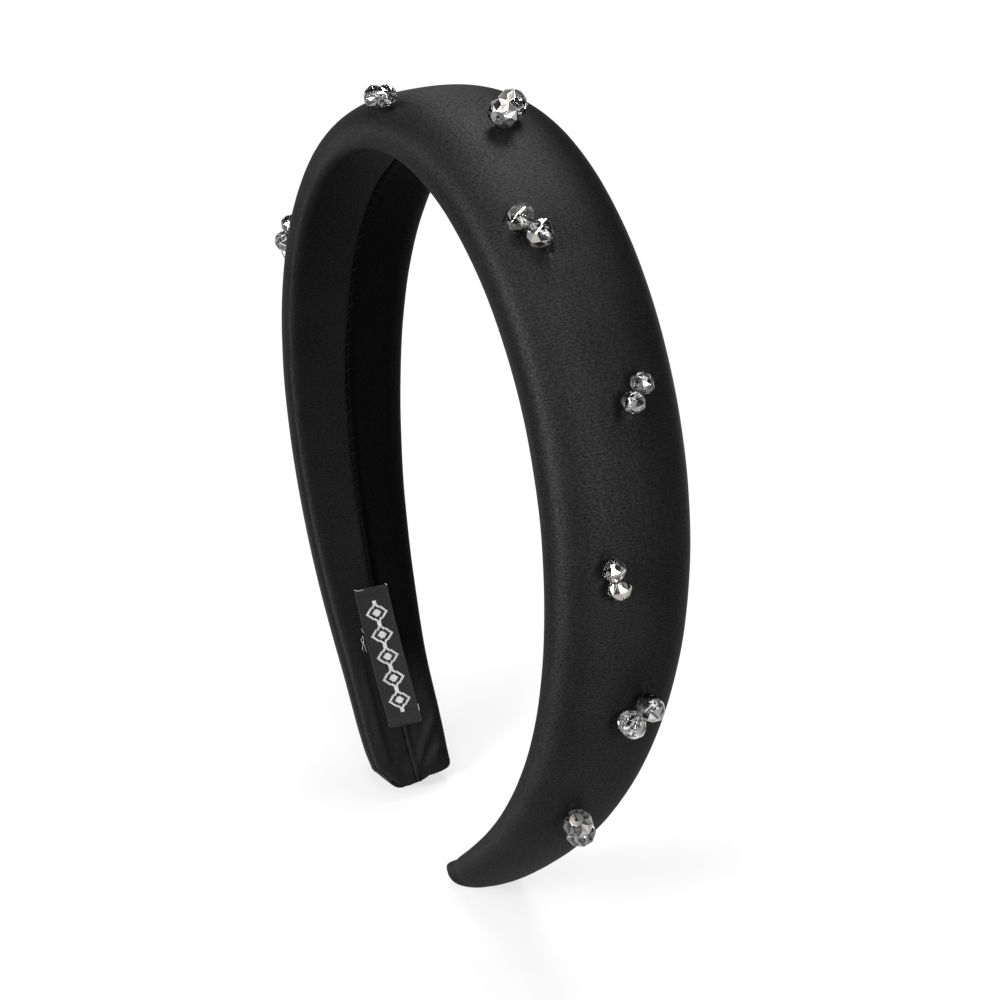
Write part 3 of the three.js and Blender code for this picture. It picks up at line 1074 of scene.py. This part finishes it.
def satin_point(s, y, depth=0.0):
    side = min(abs(y) / half_width_at(s), 1) ** (1 / DOME_SIDE)
    rise = (1 - side**2) ** (DOME_TOP / 2)
    return on_band(s, y, thickness_at(s) * (WIDEST_AT + (1 - WIDEST_AT) * rise) - depth)


CRYSTAL_THREAD_RADIUS = 0.12
KNOT_COIL_RADIUS = 0.275
KNOT_TURNS = 2.2
SATIN_TO_FOOT = 0.55
SATIN_TO_KNOT = 1.3
MOUTH_TO_FOOT = 0.55
KNEE_OUT = 0.5
KNEE_DROP = 0.38
INSIDE_MOUTH = 0.15


def thread_side(place, sign):
    """The thread on one side of a pair: from its knot up through the satin and into the crystal's hole."""
    a, b = place["ends"]
    apart = np.linalg.norm(b - a)
    outwards = sign * (b - a) / apart
    mouth = place["middle"] + outwards * apart
    s, y = satin_place(mouth + outwards * MOUTH_TO_FOOT)
    foot = satin_point(s, y, SATIN_TO_FOOT)
    knee = (1 - KNEE_DROP) * (mouth + outwards * KNEE_OUT) + KNEE_DROP * foot
    return [satin_point(s, y, SATIN_TO_KNOT), foot, knee, mouth - outwards * INSIDE_MOUTH]


def make_crystal_threads():
    turn = np.linspace(0, 2 * math.pi * KNOT_TURNS, 40)
    coil = np.stack([np.cos(turn), np.sin(turn), 0.6 * np.sin(turn * 0.7)], -1) * KNOT_COIL_RADIUS
    for place in PLACES:
        first, last = thread_side(place, -1), thread_side(place, 1)
        points, faces = [], []
        path = first + [place["middle"]] + last[::-1]
        add_twine(points, faces, smooth_path(path, 110), CRYSTAL_THREAD_RADIUS)
        for knot in (first[0], last[0]):
            add_tube(points, faces, knot + coil, CRYSTAL_THREAD_RADIUS)
        node = place["name"].replace("crystal_", "crystal_thread_")
        obj = thread_object(f"{node}_twine", points, faces, BLACK_THREAD, "black_thread", node)
        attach(obj, side_of(place["middle"][0]))


# ---------------- label, tacks and stray fibres

LABEL_STEPS = (150, 42)
LABEL_HALF_LENGTH = (LABEL_TOP - LABEL_BOTTOM) / 2
LABEL_SKEW_TOP = -0.85
LABEL_SKEW_BOTTOM = 0.3
RIBBON_HALF_WIDTH = 3.9
RIBBON_THICKNESS = 0.2
RIBBON_DROP = 0.9
RIBBON_OFF_SATIN = 0.06
RIBBON_BACK = 0.02
# Heights on the ribbon's face: its turned-under ends, its selvedges, and its ribs with their pitch.
END_FOLD_HEIGHT = 0.16
SELVEDGE_HEIGHT = 0.07
RIB_HEIGHT, RIB_PITCH = 0.018, 0.42
CORNER_ROUND = 0.25
FRAY = 0.012


def label_place(along, across):
    """Band coordinates of a place on the label: along from -1 (bottom) to 1, across from -1 to 1."""
    s = (LABEL_TOP + LABEL_BOTTOM) / 2 - RIBBON_DROP + along * LABEL_HALF_LENGTH
    middle = LABEL_SKEW_BOTTOM + (along + 1) / 2 * (LABEL_SKEW_TOP - LABEL_SKEW_BOTTOM)
    return s, middle + across * RIBBON_HALF_WIDTH


def rim_of(rows, columns):
    """The numbers of the points round the edge of a grid, in order."""
    rim = list(range(columns))
    rim += [i * columns + columns - 1 for i in range(1, rows)]
    rim += [(rows - 1) * columns + k for k in range(columns - 2, -1, -1)]
    rim += [i * columns for i in range(rows - 2, 0, -1)]
    return rim


def ribbon_faces(rows, columns):
    """Faces of a sheet with a front and a back grid of points, joined round the rim."""
    count = rows * columns
    front = grid_faces(rows, columns)
    back = [tuple(count + k for k in reversed(face)) for face in front]
    rim = rim_of(rows, columns)
    edge = [(here, after, count + after, count + here) for here, after in zip(rim, rim[1:] + rim[:1])]
    return front + back + edge


def make_label():
    rows, columns = LABEL_STEPS
    along, across = np.meshgrid(np.linspace(-1, 1, rows), np.linspace(-1, 1, columns), indexing="ij")
    frayed = FRAY * np.sin(along * 190) * ease(np.abs(across), 0.9, 1)
    s, y = label_place(along, across * (1 + frayed))
    corner = np.abs(across) ** 14 * ease(np.abs(along), 0.9, 1)
    s = s - np.sign(along) * CORNER_ROUND * corner

    waves = 0.16 * noise_field(s, y, (9, 6), seed=21.0) + 0.05 * noise_field(s, y, (2.6, 2.2), seed=23.0)
    ends = END_FOLD_HEIGHT * ease(np.abs(along), 0.86, 0.92)
    selvedge = SELVEDGE_HEIGHT * hump(np.abs(across) - 0.93, 0.035)
    ribs = RIB_HEIGHT * np.sin(s * 2 * math.pi / RIB_PITCH)
    edge = np.maximum(np.abs(across), np.abs(along) ** 6)
    thickness = RIBBON_THICKNESS * np.sqrt(np.maximum(1 - (ease(edge, 0.965, 1.0) * 0.9) ** 2, 0.05))
    lying = LABEL_GAP / 4 + waves / 2
    face = lying + RIBBON_OFF_SATIN + thickness + ends + selvedge + ribs
    back = lying + RIBBON_BACK
    points = [on_band(s, y, -face), on_band(s, y, -back)]
    mesh = mesh_from("label_ribbon", points, ribbon_faces(rows, columns))
    obj = new_object("label_ribbon", mesh, RIBBON)
    flat = np.stack([along * LABEL_HALF_LENGTH, across * RIBBON_HALF_WIDTH, np.zeros_like(along)], -1)
    store(mesh, "cloth_mm", [flat, flat])
    fix_normals(obj)
    smooth(obj, 60)
    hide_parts("label")
    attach(obj, LEFT)


# Each tack: its places on the label as (along, across, height), where a height of 0 is the satin.
TACKS = {
    "label_tack_1": [
        (1.01, -0.98, -0.4), (1.0, -0.9, 0.3), (0.985, -0.78, 0.5), (0.985, -0.5, 0.5), (1.0, -0.42, 0.0)],
    "label_tack_2": [
        (1.02, 0.9, -0.4), (1.0, 0.92, 0.3), (0.985, 0.94, 0.45), (0.97, 0.96, 0.3), (0.965, 1.02, -0.4)],
    "label_tack_3": [
        (-0.95, -0.98, -0.3), (-0.955, -0.93, 0.4), (-0.965, -0.88, 0.45), (-0.98, -0.86, 0.1)],
    "label_tack_4": [
        (-0.74, 1.04, -0.3), (-0.745, 0.98, 0.4), (-0.78, 0.95, 0.5), (-0.83, 0.96, 0.4),
        (-0.84, 1.03, -0.3)],
}
TACK_THREAD_RADIUS = 0.065


def label_points(places):
    along, across, height = np.array(places).T
    s, y = label_place(along, across)
    return on_band(s, y, -height)


def make_tacks():
    for name, places in TACKS.items():
        points, faces = [], []
        add_twine(points, faces, smooth_path(label_points(places), 36), TACK_THREAD_RADIUS, lay=0.9)
        obj = thread_object(f"{name}_twine", points, faces, PALE_THREAD, "pale_thread", name)
        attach(obj, LEFT)


# Cut thread ends that stick out beside the label, as lists of (along, across, height).
STRAY_FIBRES = [
    [(0.34, -1.12, 0.1), (0.3, -1.3, 0.6), (0.22, -1.22, 0.9), (0.12, -1.16, 0.5)],
    [(0.36, -1.1, 0.1), (0.28, -1.18, 0.7), (0.19, -1.36, 0.8), (0.15, -1.3, 0.35)],
    [(0.46, -1.06, 0.1), (0.44, -1.1, 0.5), (0.4, -1.06, 0.6), (0.39, -1.02, 0.3)],
]
STRAY_RADIUS = 0.035


def make_stray_fibres():
    points, faces = [], []
    for places in STRAY_FIBRES:
        add_tube(points, faces, smooth_path(label_points(places), 24), STRAY_RADIUS, 5)
    obj = thread_object("stray_fibres", points, faces, PALE_THREAD, "pale_thread")
    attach(obj, LEFT)


# ---------------- sponge and hoop inside the sleeve

def closed_bar(name, s_line, outline_at, material):
    """A closed bar along the band; outline_at(s) gives the (y, n) points of its section."""
    rings = [on_band(s, *np.array(outline_at(s)).T) for s in s_line]
    faces = tube_faces(len(rings), len(rings[0]))
    obj = new_object(name, mesh_from(name, rings, faces), material)
    fix_normals(obj)
    smooth(obj, 40)
    return obj


FOAM_CLEARANCE = 0.9
FOAM_END_INSET = 2.4
FOAM_ON_HOOP = 0.3
FOAM_UNDER_SHARE = 0.96
FOAM_TOP_POINTS = 30
FOAM_UNDER_POINTS = 12


def foam_outline(s):
    """The foam's section: a dome over a flat underside."""
    half_width = half_width_at(s) - FOAM_SIDE_INSET
    bottom = HOOP_TOP + FOAM_ON_HOOP
    top = thickness_at(s) - rounding(s, TIP_TAPER, TIP_DROP) - FOAM_CLEARANCE
    angle = np.linspace(0, math.pi, FOAM_TOP_POINTS)
    y = half_width * signed_power(np.cos(angle), DOME_SIDE)
    n = bottom + (top - bottom) * np.sin(angle) ** DOME_TOP
    reach = half_width * FOAM_UNDER_SHARE
    under = np.linspace(-reach, reach, FOAM_UNDER_POINTS)
    return np.concatenate([np.stack([y, n], -1), np.stack([under, np.full_like(under, bottom)], -1)])


def make_foam():
    end = HALF_ARC - FOAM_END_INSET
    obj = closed_bar("foam_strip", np.linspace(-end, end, 241), foam_outline, SPONGE)
    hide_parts("foam_left", "foam_right")
    crosses_flex(obj)


HOOP_EDGE_ROUND = 0.45
HOOP_END = HALF_ARC - 1.2
HOOP_END_ROUND = (4.0, 2.6)


def hoop_outline(s):
    """The hoop's section: a flat strip with rounded edges."""
    half_width = half_width_at(s) * HOOP_WIDTH_SHARE - rounding(s * HALF_ARC / HOOP_END, *HOOP_END_ROUND)
    right, left = half_width - HOOP_EDGE_ROUND, HOOP_EDGE_ROUND - half_width
    high, low = HOOP_TOP - HOOP_EDGE_ROUND, HOOP_BOTTOM + HOOP_EDGE_ROUND
    corners = ((right, high, 0), (left, high, 90), (left, low, 180), (right, low, 270))
    outline = []
    for centre_y, centre_n, start in corners:
        for step in (0, 30, 60, 90):
            angle = math.radians(start + step)
            outline.append((
                centre_y + HOOP_EDGE_ROUND * math.cos(angle),
                centre_n + HOOP_EDGE_ROUND * math.sin(angle),
            ))
    return outline


def make_hoop():
    obj = closed_bar("hoop_strip", np.linspace(-HOOP_END, HOOP_END, 201), hoop_outline, PLASTIC)
    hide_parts("hoop_left", "hoop_right")
    crosses_flex(obj)


# ---------------- crystals

CUT_SIDES = 9
# A faceted rondelle's rings on one side, as shares of its radius and half thickness, from the hole
# outwards; the last value turns a ring by half a step.
CUT_RINGS = ((0.47, 1.0, 0), (0.80, 0.66, 1), (1.0, 0.12, 0))
HOLE_WALL_SHARE = 0.4
WORN_EDGE = 0.045
WORN_ANGLE = 9

# Radius, half thickness and radius of the hole.
LARGE_CRYSTAL = (3.0, 2.25, 0.45)
SMALL_CRYSTAL = (2.35, 1.85, 0.4)

# How far round each crystal of a pair the silver goes: the first is mostly coated, the other mostly clear.
COAT_REACHES = (-0.25, 0.45)
CRYSTAL_MATERIALS = (CLEAR, COATED, DRILLED)


def cut_crystal(bm, radius, half, hole, turn):
    """Adds a faceted rondelle's faces, with its hole along Z."""
    def ring(ring_radius, height, turned):
        angles = [(k + turned / 2) * 2 * math.pi / CUT_SIDES + turn for k in range(CUT_SIDES)]
        return [bm.verts.new((ring_radius * math.cos(a), ring_radius * math.sin(a), height)) for a in angles]

    belts = []
    for side in (1, -1):
        mouth = ring(hole, side * half, 0)
        table, upper, girdle = (ring(radius * r, side * half * h, turned) for r, h, turned in CUT_RINGS)
        for k in range(CUT_SIDES):
            after, before = (k + 1) % CUT_SIDES, (k - 1) % CUT_SIDES
            bm.faces.new((mouth[k], mouth[after], table[after], table[k]))
            bm.faces.new((table[k], table[after], upper[k]))
            bm.faces.new((table[k], upper[k], girdle[k], upper[before]))
            bm.faces.new((upper[k], girdle[after], girdle[k]))
        belts.append((mouth, girdle))
    (mouth, girdle), (back_mouth, back_girdle) = belts
    for k in range(CUT_SIDES):
        after = (k + 1) % CUT_SIDES
        bm.faces.new((girdle[k], girdle[after], back_girdle[after], back_girdle[k]))
        bm.faces.new((back_mouth[k], back_mouth[after], mouth[after], mouth[k]))
    bmesh.ops.recalc_face_normals(bm, faces=bm.faces)


def coat_crystal(bm, radius, seed, coat_reach):
    """Gives each facet its tone, and its material by whether it is in the hole or faces the coated side."""
    coat_side = Vector((math.cos(seed * 7), math.sin(seed * 7), 0.35 * math.cos(seed * 3)))
    tone = bm.faces.layers.float.new("facet")
    for number, face in enumerate(bm.faces):
        face[tone] = 0.5 + 0.5 * math.sin(number * 2.39 + seed * 5) * math.cos(number * 0.71 + seed)
        material = CLEAR
        if face.calc_center_median().length <= radius * HOLE_WALL_SHARE:
            material = DRILLED
        elif face.normal.dot(coat_side) > coat_reach:
            material = COATED
        face.material_index = CRYSTAL_MATERIALS.index(material)


def make_crystal(node, body, centre, direction, large, seed, coat_reach):
    radius, half, hole = LARGE_CRYSTAL if large else SMALL_CRYSTAL
    bm = bmesh.new()
    cut_crystal(bm, radius, half, hole, seed)
    coat_crystal(bm, radius, seed, coat_reach)
    bmesh.ops.scale(bm, vec=(MM, MM, MM), verts=bm.verts)
    mesh = bpy.data.meshes.new(node)
    bm.to_mesh(mesh)
    bm.free()
    turn = Vector(direction).to_track_quat("Z", "Y").to_matrix().to_4x4()
    mesh.transform(Matrix.Translation(Vector(centre) * MM) @ turn)
    obj = new_object(f"{node}_cut", mesh, *CRYSTAL_MATERIALS)
    bevel = obj.modifiers.new("worn_edges", "BEVEL")
    bevel.width = WORN_EDGE * MM
    bevel.segments = 1
    bevel.limit_method = "ANGLE"
    bevel.angle_limit = math.radians(WORN_ANGLE)
    apply_modifiers(obj)
    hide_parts(node)
    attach(obj, body)


def make_crystals():
    for index, place in enumerate(PLACES):
        a, b = place["ends"]
        apart = np.linalg.norm(b - a)
        large = apart > LARGE_CRYSTAL[1] * 2
        body = side_of(place["middle"][0])
        for end, (centre, sign) in enumerate(((a, -1), (b, 1))):
            seed = 0.37 * index + 1.9 * end
            outwards = sign * (b - a) / apart
            make_crystal(place["name"] + "ab"[end], body, centre, outwards, large, seed, COAT_REACHES[end])


# ---------------- make everything

make_camera()
make_stage()
make_sleeve()
make_seam_thread()
make_label()
make_tacks()
make_stray_fibres()
make_foam()
make_hoop()
make_crystals()
make_crystal_threads()
